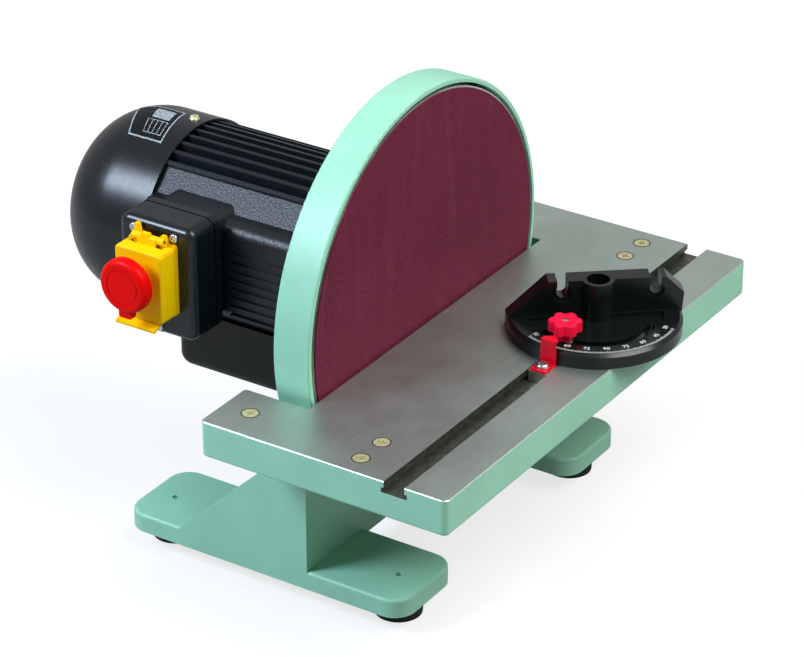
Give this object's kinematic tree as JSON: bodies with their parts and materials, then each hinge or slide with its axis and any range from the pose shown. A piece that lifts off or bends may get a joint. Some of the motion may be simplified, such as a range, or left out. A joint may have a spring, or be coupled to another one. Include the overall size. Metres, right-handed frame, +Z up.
{
  "type": "disc sander",
  "caption": "Benchtop disc sander: abrasive disc in a round housing on a finned motor, tilting slotted work table, sliding mitre gauge and lidded stop switch.",
  "frame": {"origin": "centre of the four foot holes, at the level of the bench that the rubber feet stand on", "axes": "+Z up, +X along the work table to the operator's right, +Y from the operator towards the motor; the abrasive faces -Y"},
  "size_m": [0.446, 0.4916, 0.3685],
  "materials": {
    "mint_enamel": "gloss enamel on cast iron",
    "ground_iron": "ground",
    "black_enamel_aluminium": "semi-gloss black enamel",
    "black_sheet_steel": "satin black enamel",
    "bare_aluminium": "turned",
    "abrasive_cloth": "aluminium oxide grit on cloth",
    "steel": "turned",
    "zinc_yellow_steel": "yellow zinc plate",
    "bright_zinc_steel": "bright zinc plate",
    "bearing_steel": "polished",
    "lamination_steel": "stamped",
    "copper_winding": "varnished",
    "black_rubber": "moulded",
    "black_plastic": "moulded",
    "white_plastic": "moulded",
    "yellow_plastic": "moulded",
    "red_plastic": "moulded",
    "green_plastic": "moulded",
    "red_paint": "gloss enamel",
    "black_cast_aluminium": "satin black enamel"
  },
  "bodies": {
    "machine": {"base_casting": "mint_enamel", "rubber_feet": "black_rubber", "disc_housing": "mint_enamel", "housing_bolts": "bright_zinc_steel", "front_bearing_outer": "bearing_steel", "rear_bearing_outer": "bearing_steel", "motor_front_bell": "black_enamel_aluminium", "motor_flange_bolts": "bright_zinc_steel", "motor_frame": "black_enamel_aluminium", "stator_core": "lamination_steel", "stator_windings": "copper_winding", "motor_rear_bell": "black_enamel_aluminium", "motor_tie_bolts": "bright_zinc_steel", "fan_cover": "black_sheet_steel", "fan_cover_screws": "zinc_yellow_steel", "capacitor_box": "black_plastic", "capacitor_box_screws": "bright_zinc_steel", "run_capacitor": "white_plastic", "capacitor_clamp": "bright_zinc_steel", "pivot_screws": "bright_zinc_steel", "lock_studs": "bright_zinc_steel", "lock_washers": "bright_zinc_steel", "switch_box": "black_plastic", "cable_gland": "black_plastic", "switch_box_gasket": "black_rubber", "switch_box_cover": "black_plastic", "switch_box_screws": "bright_zinc_steel", "switch_body": "black_plastic", "switch_plate": "yellow_plastic", "lid_hinge_pin": "steel"},
    "disc": {"disc_plate": "bare_aluminium", "abrasive_disc": "abrasive_cloth", "hub_set_screws": "steel", "shaft_key": "steel", "motor_shaft": "steel", "rotor_core": "lamination_steel", "front_bearing_inner": "bearing_steel", "front_bearing_balls": "bearing_steel", "rear_bearing_inner": "bearing_steel", "rear_bearing_balls": "bearing_steel", "cooling_fan": "black_plastic"},
    "tilting_table": {"table": "ground_iron", "table_screws": "zinc_yellow_steel", "trunnion_left": "mint_enamel", "trunnion_right": "mint_enamel"},
    "mitre_slide": {"mitre_bar": "steel", "mitre_pivot_screw": "steel", "mitre_lock_stud": "bright_zinc_steel", "mitre_lock_washer": "bright_zinc_steel", "mitre_pointer": "red_paint", "mitre_pointer_screw": "bright_zinc_steel"},
    "mitre_head": {"mitre_head": "black_cast_aluminium"},
    "mitre_knob": {"mitre_lock_knob": "red_plastic"},
    "tilt_knob_left": {"tilt_lock_knob_left": "black_plastic"},
    "tilt_knob_right": {"tilt_lock_knob_right": "black_plastic"},
    "lid": {"switch_lid": "yellow_plastic"},
    "mushroom": {"stop_mushroom": "red_plastic"},
    "stop": {"stop_button": "red_plastic"},
    "start": {"start_button": "green_plastic"}
  },
  "joints": [
    {"name": "disc_spin", "type": "hinge", "parent": "machine", "child": "disc", "pos_m": [0, 0, 0.208], "axis": [0, 1, 0], "continuous": true},
    {"name": "table_tilt", "type": "hinge", "parent": "machine", "child": "tilting_table", "pos_m": [0, -0.038, 0.16], "axis": [1, 0, 0], "range_deg": [0, 45]},
    {"name": "tilt_lock_left", "type": "hinge", "parent": "machine", "child": "tilt_knob_left", "pos_m": [-0.18, -0.02617, 0.13462], "axis": [-1, 0, 0], "range_deg": [0, 270]},
    {"name": "tilt_lock_right", "type": "hinge", "parent": "machine", "child": "tilt_knob_right", "pos_m": [0.18, -0.02617, 0.13462], "axis": [1, 0, 0], "range_deg": [0, 270]},
    {"name": "mitre_travel", "type": "slide", "parent": "tilting_table", "child": "mitre_slide", "axis": [1, 0, 0], "range_m": [-0.19, 0.085]},
    {"name": "mitre_swivel", "type": "hinge", "parent": "mitre_slide", "child": "mitre_head", "pos_m": [0.0585, -0.16235, 0.1763], "axis": [0, 0, 1], "range_deg": [-99.1, 20.9]},
    {"name": "mitre_lock", "type": "hinge", "parent": "mitre_slide", "child": "mitre_knob", "pos_m": [0.0135, -0.16235, 0.1963], "axis": [0, 0, 1], "range_deg": [0, 270]},
    {"name": "lid_swing", "type": "hinge", "parent": "machine", "child": "lid", "pos_m": [-0.1273, 0.1205, 0.2535], "axis": [0, 1, 0], "range_deg": [0, 110]},
    {"name": "mushroom_press", "type": "slide", "parent": "lid", "child": "mushroom", "axis": [1, 0, 0], "range_m": [0, 0.004], "stiffness_N_per_m": 600, "springref_m": -0.002},
    {"name": "stop_press", "type": "slide", "parent": "machine", "child": "stop", "axis": [1, 0, 0], "range_m": [0, 0.004], "stiffness_N_per_m": 600, "springref_m": -0.002},
    {"name": "start_press", "type": "slide", "parent": "machine", "child": "start", "axis": [1, 0, 0], "range_m": [0, 0.004], "stiffness_N_per_m": 600, "springref_m": -0.002}
  ],
  "couplings": [
    {"joint": "stop_press", "follows": "mushroom_press", "ratio": 1}
  ]
}
